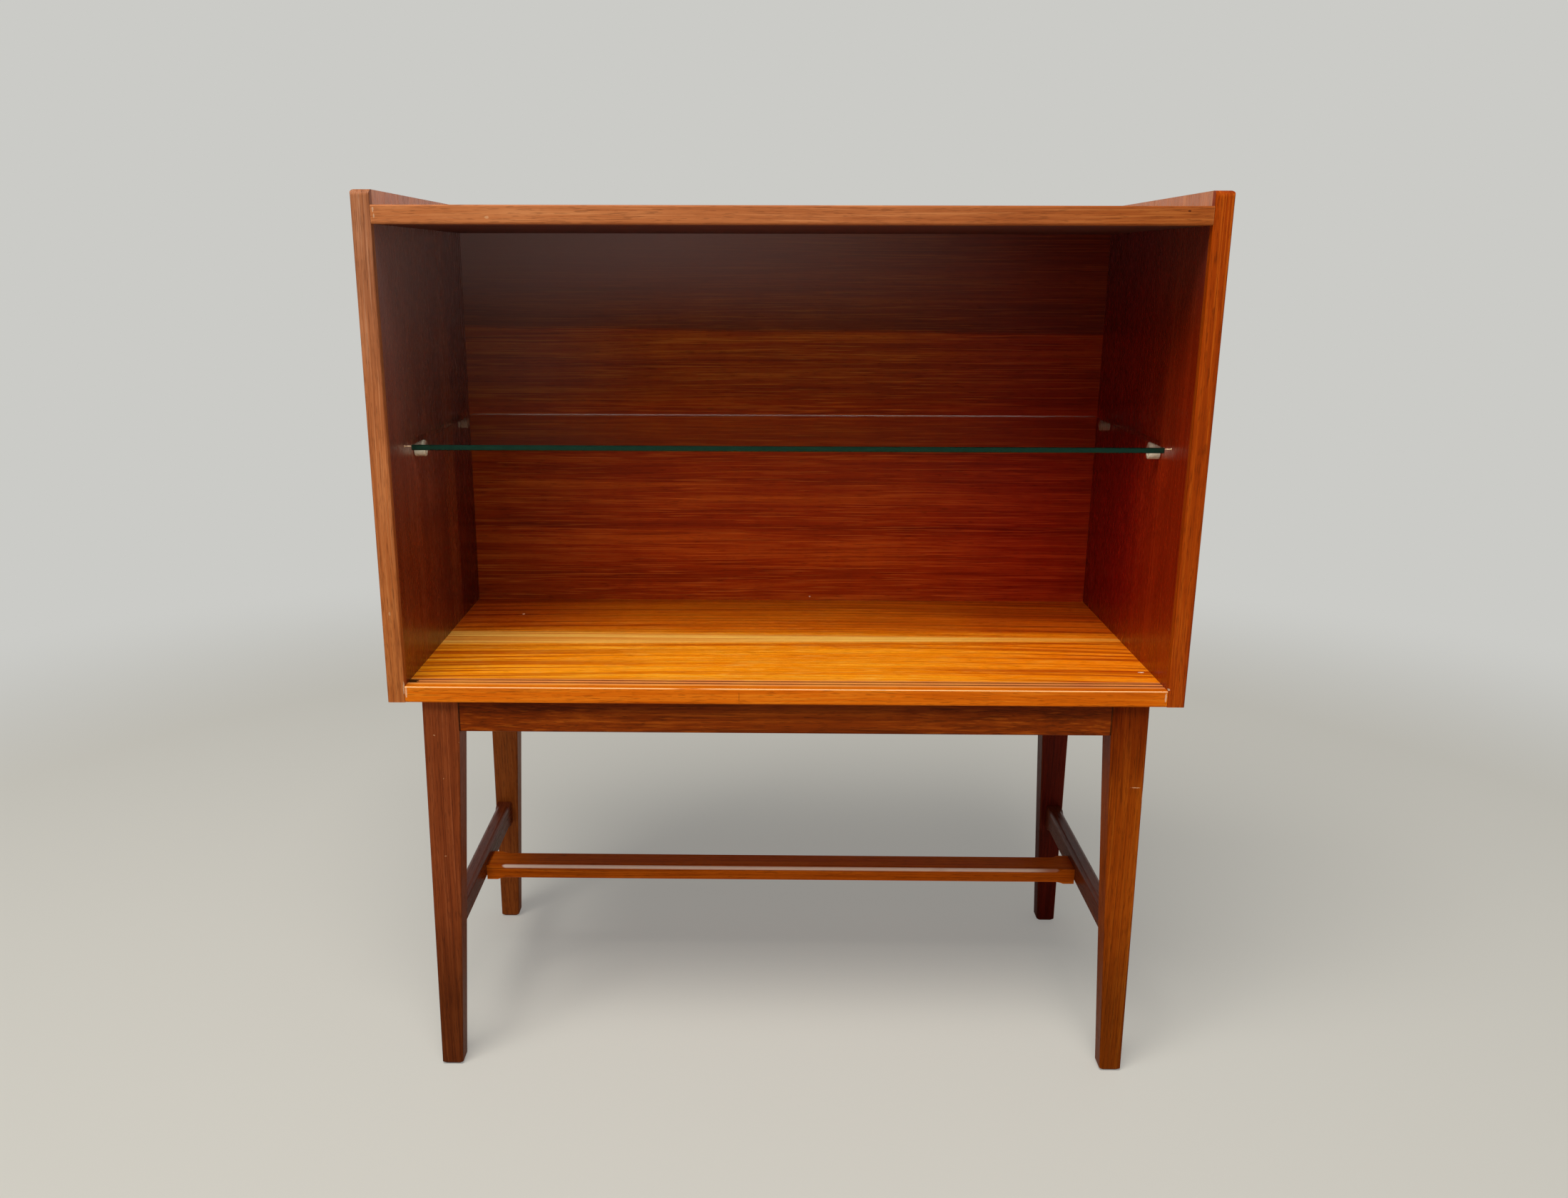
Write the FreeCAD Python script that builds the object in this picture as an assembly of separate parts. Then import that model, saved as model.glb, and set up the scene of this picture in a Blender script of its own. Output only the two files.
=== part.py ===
import FreeCAD, Part
import math
import os

# Open bookcase with a loose glass shelf, on a stand with tapered legs and stretchers.
# Millimetres. Z is up, X is across, and the front faces -Y. The origin is on the floor, under the middle.

# Carcass
carcass_width = 720.0
carcass_depth = 345.0
side_height = 440.0
side_thickness = 16.0
board_thickness = 15.0
upstand = 12.0               # how far the sides stand above the top board
lipping_depth = 8.0          # solid strip on the front edge of each board
lipping_round = 1.5          # front arrises of the lippings
nose_round = 5.0             # front top corner of a side, seen from the side
side_top_round = 3.0         # outer top arris of a side
back_thickness = 4.0
back_recess = 1.5            # from the sides' rear edges to the back panel
rebate_width = 8.0           # ledge in each side that the back panel lies on
back_gap = 0.5               # play round the edge of the back panel

# Tracks for sliding doors
track_setback = 13.4         # from the front of the carcass to the first track
track_width = 3.6
track_pitch = 7.7
track_depth_bottom = 2.5
track_depth_top = 5.0

# Glass shelf and its supports
shelf_thickness = 5.0
shelf_side_gap = 8.0         # from each end of the glass to the side
shelf_setback = 50.0         # from the front of the carcass to the glass
shelf_rear_gap = 23.5        # from the glass to the back panel
shelf_arris = 0.6            # ground edges of the glass
shelf_clearance = 0.3        # between the glass and the sleeves
peg_height = 200.9           # centre of the pegs above the bottom board
peg_setback = 92.5           # from the front of the carcass to the front pegs
peg_rear_gap = 59.0          # from the rear pegs to the back panel
peg_radius = 2.5
peg_hole_depth = 10.0
peg_chamfer = 0.5
sleeve_radius = 5.2
sleeve_length = 10.4
sleeve_standoff = 0.5        # between the side and the sleeve
sleeve_hollow = 4.4          # empty inner end of the sleeve
sleeve_chamfer = 0.4

# Stand
leg_height = 377.0
stand_inset = 6.0            # legs behind the front, and in front of the back, of the carcass
stand_end_inset = 29.0       # top of the legs inside the outer faces of the sides
leg_top = 33.0
leg_foot = 20.5
leg_splay = 3.0              # each foot stands this far outside the top of its leg, both ways
leg_arris = 2.0
foot_chamfer = 2.5
apron_height = 30.0
apron_thickness = 19.0
apron_setback = 0.5          # behind the outer face of the legs
apron_arris = 2.0
side_stretcher_thickness = 15.5
side_stretcher_height = 26.0
side_stretcher_bottom = 126.0
side_stretcher_offset = 2.0  # outwards from the middle of the legs
side_stretcher_round = 4.0
long_stretcher_depth = 36.0
long_stretcher_thickness = 16.5
long_stretcher_bottom = 124.5
long_stretcher_offset = 8.5  # behind the middle of the stand
long_stretcher_round = 5.0
round_stop = 20.0            # from a stretcher's end to the end of the full rounding on its arrises
round_bit = 6.0              # radius of the cutter that leaves the curved ends of a rounding
round_dip = 0.35             # share of a rounding's size that is gone at the middle of the arris

# Dowels
dowel_fit = 0.05             # round a dowel, peg, pin or screw in its hole
dowel_end_gap = 1.0          # empty end of a dowel's hole
dowel_chamfer = 0.8
carcass_dowel_radius = 4.0
carcass_dowel_in_side = 9.0
carcass_dowel_in_board = 20.0
carcass_dowel_count = 3
carcass_dowel_margin = 40.0  # from the ends of a board's edge to the outer dowels
stand_dowel_radius = 3.0
apron_dowel_in_leg = 14.0
apron_dowel_in_apron = 16.0
apron_dowel_spacing = 14.0
stretcher_dowel_in_leg = 11.0
stretcher_dowel_in_stretcher = 15.0
side_stretcher_dowel_spacing = 13.0
long_stretcher_dowel_in_side = 8.0
long_stretcher_dowel_spacing = 18.0

# Screws up through the aprons into the bottom board
screw_radius = 2.0
screw_head_radius = 4.0
screw_head_height = 2.5
screw_slot_width = 1.0
screw_slot_depth = 1.1
screw_sink = 10.0            # from the apron's underside to the seat of the head
screw_head_play = 0.6
screw_shank_play = 0.25
screw_cover = 2.0            # wood left between the screw's tip and the door tracks
long_apron_screw_margin = 98.0   # from an end of the front or rear apron to its screw
side_apron_screw_margin = 68.5

# Panel pins through the back panel
pin_radius = 0.8
pin_head_radius = 1.7
pin_head_height = 0.8
pin_length = 18.0
board_pin_count = 6
board_pin_margin = 30.0      # from the inner faces of the sides to the outer pins
side_pin_count = 3
side_pin_margin = 100.0      # from the inner faces of the top and bottom boards

# Places that follow from the sizes
Vector = FreeCAD.Vector
ORIGIN = Vector(0, 0, 0)
RIGHT = Vector(1, 0, 0)
BACK = Vector(0, 1, 0)
UP = Vector(0, 0, 1)

outer_x = carcass_width / 2
inner_x = outer_x - side_thickness
front_y = -carcass_depth / 2
rear_y = carcass_depth / 2
lipping_back_y = front_y + lipping_depth
back_front_y = rear_y - back_recess - back_thickness
side_top_z = leg_height + side_height
bottom_top_z = leg_height + board_thickness
top_top_z = side_top_z - upstand
top_bottom_z = top_top_z - board_thickness
peg_z = bottom_top_z + peg_height
shelf_z = peg_z + sleeve_radius + shelf_clearance
sleeve_outer_x = inner_x - sleeve_standoff
sleeve_inner_x = sleeve_outer_x - sleeve_length
stand_x = outer_x - stand_end_inset
stand_y = rear_y - stand_inset
block_z = leg_height - apron_height
side_stretcher_top = side_stretcher_bottom + side_stretcher_height
long_stretcher_top = long_stretcher_bottom + long_stretcher_thickness


def spread(first, last, count):
    """Evenly spaced values from first to last."""
    step = (last - first) / (count - 1)
    return [first + step * i for i in range(count)]


def outline(corners, place):
    """Closed wire through corners (u, v, radius), each rounded by an arc; place turns (u, v) into a point."""
    points = [Vector(u, v, 0) for u, v, _ in corners]
    radii = [radius for _, _, radius in corners]
    runs = []
    for i, corner in enumerate(points):
        before = (points[i - 1] - corner).normalize()
        after = (points[(i + 1) % len(points)] - corner).normalize()
        half = before.getAngle(after) / 2
        reach = radii[i] / math.tan(half)
        centre = corner + (before + after).normalize() * (radii[i] / math.sin(half))
        middle = centre + (corner - centre).normalize() * radii[i] if radii[i] else corner
        runs.append((corner + before * reach, middle, corner + after * reach))
    edges = []
    for i, (start, middle, end) in enumerate(runs):
        if radii[i]:
            edges.append(Part.Arc(*[place(p.x, p.y) for p in (start, middle, end)]).toShape())
        following = runs[(i + 1) % len(runs)][0]
        edges.append(Part.LineSegment(place(end.x, end.y), place(following.x, following.y)).toShape())
    return Part.Wire(edges)


def along_x(corners, x0, x1):
    """Solid with the profile (y, z, radius) from x0 to x1."""
    wire = outline(corners, lambda y, z: Vector(x0, y, z))
    return Part.Face(wire).extrude(RIGHT * (x1 - x0))


def along_y(corners, y0, y1):
    """Solid with the profile (x, z, radius) from y0 to y1."""
    wire = outline(corners, lambda x, z: Vector(x, y0, z))
    return Part.Face(wire).extrude(BACK * (y1 - y0))


def along_z(corners, z0, z1):
    """Solid with the profile (x, y, radius) from z0 to z1."""
    wire = outline(corners, lambda x, y: Vector(x, y, z0))
    return Part.Face(wire).extrude(UP * (z1 - z0))


def block(x0, x1, y0, y1, z0, z1):
    return Part.makeBox(x1 - x0, y1 - y0, z1 - z0, Vector(x0, y0, z0))


def rod(start, axis, length, radius):
    return Part.makeCylinder(radius, length, start, axis)


def mirrored(shape, axis):
    return shape.mirror(ORIGIN, axis)


def both_sides(shapes, axis):
    return shapes + [mirrored(shape, axis) for shape in shapes]


def chamfered_rod(start, axis, length, radius, chamfer):
    """Rod with both ends chamfered."""
    profile = Part.makePolygon([
        Vector(0, 0, 0),
        Vector(radius - chamfer, 0, 0),
        Vector(radius, 0, chamfer),
        Vector(radius, 0, length - chamfer),
        Vector(radius - chamfer, 0, length),
        Vector(0, 0, length),
        Vector(0, 0, 0),
    ])
    turned = Part.Face(profile).revolve(ORIGIN, UP, 360)
    turned.Placement = FreeCAD.Placement(start, FreeCAD.Rotation(UP, axis))
    return turned


class Dowel:
    """A dowel across a joint: a point on the joint face, and how far it goes each way along its axis."""

    def __init__(self, point, axis, ahead, behind, radius):
        self.start = point - axis * behind
        self.axis = axis
        self.length = ahead + behind
        self.radius = radius

    def solid(self):
        return chamfered_rod(self.start, self.axis, self.length, self.radius, dowel_chamfer)

    def hole(self):
        start = self.start - self.axis * dowel_end_gap
        return rod(start, self.axis, self.length + 2 * dowel_end_gap, self.radius + dowel_fit)


def drilled(shape, holes):
    return shape.cut(Part.makeCompound(holes))


def stopped_rounding(start, end, outwards, upwards, size):
    """Cutter that rounds an arris from start to end, with the curved ends that a router bit leaves.

    outwards and upwards point out of the two faces that meet at the arris. The arc stands a little
    outside both faces where it leaves the wood, so that it meets them at a slight angle.
    """
    middle = size * round_dip
    centre = (size ** 2 - 2 * middle ** 2) / (2 * size - 4 * middle)
    past_face = math.sqrt(2) * (centre - middle) - centre

    def place(u, v):
        return start + outwards * u + upwards * v

    arc = Part.Arc(place(past_face, -centre), place(-middle, -middle), place(-centre, past_face))
    sides = Part.makePolygon([
        place(-centre, past_face),
        place(round_bit, past_face),
        place(round_bit, -centre),
        place(past_face, -centre),
    ])
    profile = Part.Face(Part.Wire([arc.toShape()] + sides.Edges))
    swept = profile.extrude(end - start)
    turned = profile.revolve(place(round_bit, 0), upwards, 360)
    return swept.fuse([turned, turned.translated(end - start)])


def rounded_arrises(bar, arrises, size):
    for arris in arrises:
        bar = bar.cut(stopped_rounding(*arris, size))
    return bar


# Right side, with its lipping; the left one mirrors it
side_profile = [
    (inner_x, leg_height, 0),
    (outer_x, leg_height, 0),
    (outer_x, side_top_z, side_top_round),
    (inner_x, side_top_z, 0),
]


def right_lipping():
    plan = [
        (inner_x, front_y, lipping_round),
        (outer_x, front_y, lipping_round),
        (outer_x, lipping_back_y, 0),
        (inner_x, lipping_back_y, 0),
    ]
    nose = [
        (front_y, leg_height, 0),
        (lipping_back_y, leg_height, 0),
        (lipping_back_y, side_top_z, 0),
        (front_y, side_top_z, nose_round),
    ]
    strip = along_z(plan, leg_height, side_top_z)
    strip = strip.common(along_x(nose, inner_x, outer_x))
    return strip.common(along_y(side_profile, front_y, lipping_back_y))


peg_ys = [front_y + peg_setback, back_front_y - peg_rear_gap]
peg_points = [Vector(inner_x, y, peg_z) for y in peg_ys]


def carcass_dowels_on_right():
    """Dowels from the right ends of the top and bottom boards into the right side."""
    first = lipping_back_y + carcass_dowel_margin
    last = back_front_y - carcass_dowel_margin
    zs = [(leg_height + bottom_top_z) / 2, (top_bottom_z + top_top_z) / 2]
    return [
        Dowel(
            Vector(inner_x, y, z), RIGHT,
            carcass_dowel_in_side, carcass_dowel_in_board, carcass_dowel_radius,
        )
        for z in zs
        for y in spread(first, last, carcass_dowel_count)
    ]


class Pin:
    """A panel pin driven from behind, with its head on the back panel."""

    def __init__(self, x, z):
        self.seat = Vector(x, back_front_y + back_thickness, z)

    def solid(self):
        head = rod(self.seat, BACK, pin_head_height, pin_head_radius)
        return head.fuse(rod(self.seat, -BACK, pin_length, pin_radius)).removeSplitter()

    def hole(self):
        return rod(self.seat, -BACK, pin_length + dowel_fit, pin_radius + dowel_fit)


pin_board_zs = [(leg_height + bottom_top_z) / 2, (top_bottom_z + top_top_z) / 2]
pin_board_xs = spread(board_pin_margin - inner_x, inner_x - board_pin_margin, board_pin_count)
pin_side_x = inner_x + rebate_width / 2
pin_side_zs = spread(bottom_top_z + side_pin_margin, top_bottom_z - side_pin_margin, side_pin_count)
bottom_pins = [Pin(x, pin_board_zs[0]) for x in pin_board_xs]
top_pins = [Pin(x, pin_board_zs[1]) for x in pin_board_xs]
right_pins = [Pin(pin_side_x, z) for z in pin_side_zs]
left_pins = [Pin(-pin_side_x, z) for z in pin_side_zs]

carcass_dowels = carcass_dowels_on_right()
carcass_dowel_holes = [dowel.hole() for dowel in carcass_dowels]


def right_side():
    panel = along_y(side_profile, lipping_back_y, rear_y)
    rebate = block(inner_x, inner_x + rebate_width, back_front_y, rear_y, leg_height, top_top_z + back_gap)
    peg_holes = [rod(point, RIGHT, peg_hole_depth, peg_radius + dowel_fit) for point in peg_points]
    return drilled(panel.cut(rebate), carcass_dowel_holes + peg_holes + [pin.hole() for pin in right_pins])


# Top and bottom boards, with the door tracks
def tracks(z0, z1):
    starts = [front_y + track_setback, front_y + track_setback + track_pitch]
    return [block(-inner_x, inner_x, y, y + track_width, z0, z1) for y in starts]


def board(z0, cuts):
    plain = block(-inner_x, inner_x, lipping_back_y, back_front_y, z0, z0 + board_thickness)
    return drilled(plain, cuts + both_sides(carcass_dowel_holes, RIGHT))


def board_lipping(z0):
    profile = [
        (front_y, z0, lipping_round),
        (lipping_back_y, z0, 0),
        (lipping_back_y, z0 + board_thickness, 0),
        (front_y, z0 + board_thickness, lipping_round),
    ]
    return along_x(profile, -inner_x, inner_x)


def back_panel():
    edge_x = inner_x + rebate_width - back_gap
    panel = block(-edge_x, edge_x, back_front_y, back_front_y + back_thickness, leg_height, top_top_z)
    return drilled(panel, [pin.hole() for pin in bottom_pins + top_pins + left_pins + right_pins])


# Glass shelf and its supports
def glass_shelf():
    half_width = inner_x - shelf_side_gap
    sheet = block(
        -half_width, half_width,
        front_y + shelf_setback, back_front_y - shelf_rear_gap,
        shelf_z, shelf_z + shelf_thickness,
    )
    return sheet.makeChamfer(shelf_arris, sheet.Edges)


def right_peg(point):
    start = Vector(sleeve_inner_x + sleeve_hollow, point.y, point.z)
    length = inner_x + peg_hole_depth - start.x
    return chamfered_rod(start, RIGHT, length, peg_radius, peg_chamfer)


def right_sleeve(point):
    start = Vector(sleeve_inner_x, point.y, point.z)
    tube = chamfered_rod(start, RIGHT, sleeve_length, sleeve_radius, sleeve_chamfer)
    return tube.cut(rod(start, RIGHT, sleeve_length, peg_radius + dowel_fit))


# Stand: the front right leg and what joins it; the others mirror it
def leg_reach(z):
    """How far a leg reaches out of, and into, the stand from the outer corner of its top, at height z."""
    outwards = leg_splay * (leg_height - z) / leg_height
    foot_inwards = leg_foot - leg_splay
    inwards = foot_inwards + (leg_top - foot_inwards) * min(z / block_z, 1)
    return outwards, inwards


def leg_section(z, inset):
    outwards, inwards = leg_reach(z)
    x0, x1 = stand_x - inwards + inset, stand_x + outwards - inset
    y0, y1 = -stand_y - outwards + inset, -stand_y + inwards - inset
    corners = [(x0, y0, leg_arris), (x1, y0, leg_arris), (x1, y1, leg_arris), (x0, y1, leg_arris)]
    return outline(corners, lambda x, y: Vector(x, y, z))


def plain_leg():
    sections = [leg_section(0, foot_chamfer)]
    sections += [leg_section(z, 0) for z in (foot_chamfer, block_z, leg_height)]
    return Part.makeLoft(sections, True, True)


apron_end_x = stand_x - leg_top
apron_end_y = stand_y - leg_top
apron_middle = apron_setback + apron_thickness / 2
apron_dowel_zs = [block_z + apron_height / 2 + side * apron_dowel_spacing / 2 for side in (-1, 1)]


def front_apron_dowels():
    """Dowels from the right end of the front apron into the front right leg."""
    return [
        Dowel(
            Vector(apron_end_x, -stand_y + apron_middle, z), RIGHT,
            apron_dowel_in_leg, apron_dowel_in_apron, stand_dowel_radius,
        )
        for z in apron_dowel_zs
    ]


def side_apron_dowels():
    """Dowels from the front end of the right apron into the front right leg."""
    return [
        Dowel(
            Vector(stand_x - apron_middle, -apron_end_y, z), -BACK,
            apron_dowel_in_leg, apron_dowel_in_apron, stand_dowel_radius,
        )
        for z in apron_dowel_zs
    ]


side_stretcher_middle = (side_stretcher_bottom + side_stretcher_top) / 2
reach_out, reach_in = leg_reach(side_stretcher_middle)
side_stretcher_x = stand_x + (reach_out - reach_in) / 2 + side_stretcher_offset
side_stretcher_inner_x = side_stretcher_x - side_stretcher_thickness / 2
side_stretcher_outer_x = side_stretcher_x + side_stretcher_thickness / 2


def side_stretcher_dowels():
    """Dowels from the front end of the right stretcher into the front right leg."""
    zs = [side_stretcher_middle + side * side_stretcher_dowel_spacing / 2 for side in (-1, 1)]
    return [
        Dowel(
            Vector(side_stretcher_x, -stand_y + leg_reach(z)[1], z), -BACK,
            stretcher_dowel_in_leg, stretcher_dowel_in_stretcher, stand_dowel_radius,
        )
        for z in zs
    ]


def long_stretcher_dowels():
    """Dowels from the right end of the long stretcher into the right stretcher."""
    shared_bottom = max(long_stretcher_bottom, side_stretcher_bottom)
    shared_top = min(long_stretcher_top, side_stretcher_top)
    z = (shared_bottom + shared_top) / 2
    ys = [long_stretcher_offset + side * long_stretcher_dowel_spacing / 2 for side in (-1, 1)]
    return [
        Dowel(
            Vector(side_stretcher_inner_x, y, z), RIGHT,
            long_stretcher_dowel_in_side, stretcher_dowel_in_stretcher, stand_dowel_radius,
        )
        for y in ys
    ]


front_apron_joint = front_apron_dowels()
side_apron_joint = side_apron_dowels()
side_stretcher_joint = side_stretcher_dowels()
long_stretcher_joint = long_stretcher_dowels()
front_right_plain = plain_leg()
right_plain_legs = both_sides([front_right_plain], BACK)


def holes_of(dowels):
    return [dowel.hole() for dowel in dowels]


class Screw:
    """A wood screw up through an apron, with its head in a counterbore."""

    def __init__(self, x, y):
        self.seat = Vector(x, y, block_z + screw_sink)
        self.length = bottom_top_z - track_depth_bottom - screw_cover - self.seat.z

    def solid(self):
        head = rod(self.seat, -UP, screw_head_height, screw_head_radius)
        screw = head.fuse(rod(self.seat, UP, self.length, screw_radius)).removeSplitter()
        bottom = self.seat.z - screw_head_height
        slot = block(
            self.seat.x - screw_head_radius, self.seat.x + screw_head_radius,
            self.seat.y - screw_slot_width / 2, self.seat.y + screw_slot_width / 2,
            bottom, bottom + screw_slot_depth,
        )
        return screw.cut(slot)

    def apron_holes(self):
        return [
            rod(self.seat, -UP, screw_sink, screw_head_radius + screw_head_play),
            rod(self.seat, UP, apron_height - screw_sink, screw_radius + screw_shank_play),
        ]

    def board_hole(self):
        return rod(self.seat, UP, self.length + dowel_fit, screw_radius + dowel_fit)


long_apron_screw_x = apron_end_x - long_apron_screw_margin
side_apron_screw_y = apron_end_y - side_apron_screw_margin
front_screws = [Screw(side * long_apron_screw_x, -stand_y + apron_middle) for side in (-1, 1)]
rear_screws = [Screw(side * long_apron_screw_x, stand_y - apron_middle) for side in (-1, 1)]
right_screws = [Screw(stand_x - apron_middle, side * side_apron_screw_y) for side in (-1, 1)]
left_screws = [Screw(apron_middle - stand_x, side * side_apron_screw_y) for side in (-1, 1)]
stand_screws = front_screws + rear_screws + right_screws + left_screws


def apron_profile(outer, inner):
    """Apron section from its outer face to its inner face, with the lower arrises softened."""
    return [
        (outer, block_z, apron_arris),
        (inner, block_z, apron_arris),
        (inner, leg_height, 0),
        (outer, leg_height, 0),
    ]


def front_apron():
    outer = -stand_y + apron_setback
    bar = along_x(apron_profile(outer, outer + apron_thickness), -apron_end_x, apron_end_x)
    screw_holes = [hole for screw in front_screws for hole in screw.apron_holes()]
    return drilled(bar, both_sides(holes_of(front_apron_joint), RIGHT) + screw_holes)


def right_apron():
    outer = stand_x - apron_setback
    bar = along_y(apron_profile(outer, outer - apron_thickness), -apron_end_y, apron_end_y)
    screw_holes = [hole for screw in right_screws for hole in screw.apron_holes()]
    return drilled(bar, both_sides(holes_of(side_apron_joint), BACK) + screw_holes)


def front_right_leg():
    joints = front_apron_joint + side_apron_joint + side_stretcher_joint
    return drilled(front_right_plain, holes_of(joints))


def right_stretcher():
    """Board on edge between the right legs, cut to their sloping faces, with stopped roundings."""
    bar = block(
        side_stretcher_inner_x, side_stretcher_outer_x, -stand_y, stand_y,
        side_stretcher_bottom, side_stretcher_top,
    )
    bar = bar.cut(Part.makeCompound(right_plain_legs))
    bar = max(bar.Solids, key=lambda solid: solid.Volume)
    arrises = []
    for z, upwards in ((side_stretcher_bottom, -UP), (side_stretcher_top, UP)):
        end_y = stand_y - leg_reach(z)[1] - round_stop
        for x, outwards in ((side_stretcher_inner_x, -RIGHT), (side_stretcher_outer_x, RIGHT)):
            arrises.append((Vector(x, -end_y, z), Vector(x, end_y, z), outwards, upwards))
    bar = rounded_arrises(bar, arrises, side_stretcher_round)
    return drilled(bar, both_sides(holes_of(side_stretcher_joint), BACK) + holes_of(long_stretcher_joint))


def long_stretcher():
    """Flat board between the side stretchers, with stopped roundings."""
    front = long_stretcher_offset - long_stretcher_depth / 2
    rear = long_stretcher_offset + long_stretcher_depth / 2
    bar = block(
        -side_stretcher_inner_x, side_stretcher_inner_x, front, rear,
        long_stretcher_bottom, long_stretcher_top,
    )
    end_x = side_stretcher_inner_x - round_stop
    arrises = [
        (Vector(-end_x, y, z), Vector(end_x, y, z), outwards, upwards)
        for z, upwards in ((long_stretcher_bottom, -UP), (long_stretcher_top, UP))
        for y, outwards in ((front, -BACK), (rear, BACK))
    ]
    bar = rounded_arrises(bar, arrises, long_stretcher_round)
    return drilled(bar, both_sides(holes_of(long_stretcher_joint), RIGHT))


def group(pieces):
    return Part.makeCompound([piece.solid() for piece in pieces])


def four_ways(pieces):
    """The pieces of one joint at the front right, repeated at the other three corners."""
    return Part.makeCompound(both_sides(both_sides([piece.solid() for piece in pieces], RIGHT), BACK))


def left_and_right(pieces):
    return Part.makeCompound(both_sides([piece.solid() for piece in pieces], RIGHT))


nodes = {
    "right_side": right_side(),
    "right_side_lipping": right_lipping(),
    "top_board": board(
        top_bottom_z,
        tracks(top_bottom_z, top_bottom_z + track_depth_top) + [pin.hole() for pin in top_pins],
    ),
    "top_board_lipping": board_lipping(top_bottom_z),
    "bottom_board": board(
        leg_height,
        tracks(bottom_top_z - track_depth_bottom, bottom_top_z)
        + [pin.hole() for pin in bottom_pins]
        + [screw.board_hole() for screw in stand_screws],
    ),
    "bottom_board_lipping": board_lipping(leg_height),
    "back_panel": back_panel(),
    "carcass_dowels": left_and_right(carcass_dowels),
    "back_panel_pins": group(bottom_pins + top_pins + left_pins + right_pins),
    "glass_shelf": glass_shelf(),
    "front_right_leg": front_right_leg(),
    "front_apron": front_apron(),
    "right_apron": right_apron(),
    "right_stretcher": right_stretcher(),
    "long_stretcher": long_stretcher(),
    "apron_dowels": four_ways(front_apron_joint + side_apron_joint),
    "side_stretcher_dowels": four_ways(side_stretcher_joint),
    "long_stretcher_dowels": left_and_right(long_stretcher_joint),
    "stand_screws": group(stand_screws),
}
for place, point in zip(("front", "rear"), peg_points):
    nodes[place + "_right_shelf_peg"] = right_peg(point)
    nodes[place + "_right_peg_sleeve"] = right_sleeve(point)
nodes["rear_right_leg"] = mirrored(nodes["front_right_leg"], BACK)
nodes["rear_apron"] = mirrored(nodes["front_apron"], BACK)
for name in [name for name in nodes if "right" in name]:
    nodes[name.replace("right", "left")] = mirrored(nodes[name], RIGHT)

os.makedirs("parts", exist_ok=True)
for name, shape in nodes.items():
    shape.exportStep(f"parts/{name}.step")
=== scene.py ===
import math

import bpy
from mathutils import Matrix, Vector

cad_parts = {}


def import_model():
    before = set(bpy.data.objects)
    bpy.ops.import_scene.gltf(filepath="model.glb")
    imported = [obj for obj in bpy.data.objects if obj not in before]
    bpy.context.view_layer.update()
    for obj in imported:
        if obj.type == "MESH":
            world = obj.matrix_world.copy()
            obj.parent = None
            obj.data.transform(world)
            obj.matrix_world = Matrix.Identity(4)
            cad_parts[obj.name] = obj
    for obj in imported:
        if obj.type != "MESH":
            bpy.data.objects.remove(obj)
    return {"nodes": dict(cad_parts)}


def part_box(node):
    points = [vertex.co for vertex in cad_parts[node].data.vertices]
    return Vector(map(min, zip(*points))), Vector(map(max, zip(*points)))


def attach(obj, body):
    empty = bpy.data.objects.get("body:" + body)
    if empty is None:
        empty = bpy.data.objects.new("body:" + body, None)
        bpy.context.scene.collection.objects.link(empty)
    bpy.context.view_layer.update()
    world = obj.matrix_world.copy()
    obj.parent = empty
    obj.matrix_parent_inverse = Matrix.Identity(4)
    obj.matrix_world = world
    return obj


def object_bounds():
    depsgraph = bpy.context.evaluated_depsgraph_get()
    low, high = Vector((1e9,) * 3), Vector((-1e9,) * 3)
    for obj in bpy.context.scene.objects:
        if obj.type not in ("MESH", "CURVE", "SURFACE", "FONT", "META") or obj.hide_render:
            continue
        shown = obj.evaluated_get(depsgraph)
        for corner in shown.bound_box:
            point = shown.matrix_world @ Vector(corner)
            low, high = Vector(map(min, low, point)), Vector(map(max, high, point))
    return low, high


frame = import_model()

# Looks of an open bookcase with a glass shelf: oiled teak, glass, plastic sleeves and steel pegs.
# Metres. Z is up, X is across, and the front faces -Y. Colours are 0 to 255, as seen on a screen.

nodes = frame["nodes"]
cad_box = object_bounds()

# Camera, worked out from the edges of the case in an image of 2198 by 1680 pixels
CAMERA_PLACE = (-0.02196, -1.33832, 0.75789)
CAMERA_TURN = (73.3493, -0.1276, 0.8448)
CAMERA_LENS = 31.1192
CAMERA_SENSOR = 36.0
CAMERA_SHIFT = (0.02659, 0.04570)
CAMERA_NEAR = 0.01

# Light
KEY_PLACE = (-0.55, -1.60, 3.45)
KEY_AIM = (0.0, -0.1, 0.5)
KEY_SIZE = (2.4, 1.6)
KEY_POWER = 125.0
FILL_PLACE = (0.2, -3.6, 1.6)
FILL_AIM = (0.0, 0.0, 0.5)
FILL_SIZE = (3.0, 2.0)
FILL_POWER = 12.0
SKY_STRENGTH = 0.20

# Stage
BACKGROUND = (203, 203, 199)
FLOOR_COLOUR = (212, 207, 193)
FLOOR_ROUGHNESS = 0.8
FLOOR_RADIUS = 14.0
FLOOR_CORNERS = 64
FLOOR_FADE = (0.7, 2.2)  # distances from the middle between which the floor turns into the background
SHADOW_FILL = 0.35  # share of the background that the camera sees in the floor, which softens the shadow

# Faces of the model that marks and wire pins are placed by
front_y = cad_box[0][1]
back_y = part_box("back_panel")[0][1]
board_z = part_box("bottom_board")[1][2]
inner_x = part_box("right_side")[0][0]
apron_end_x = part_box("front_apron")[1][0]
glass_low, glass_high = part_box("glass_shelf")

# Directions that faces look in
LEFT = (-1.0, 0.0, 0.0)
RIGHT = (1.0, 0.0, 0.0)
FRONT = (0.0, -1.0, 0.0)
REAR = (0.0, 1.0, 0.0)
DOWN = (0.0, 0.0, -1.0)
UP = (0.0, 0.0, 1.0)
TOP_FRONT = (0.0, -0.7071, 0.7071)

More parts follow.
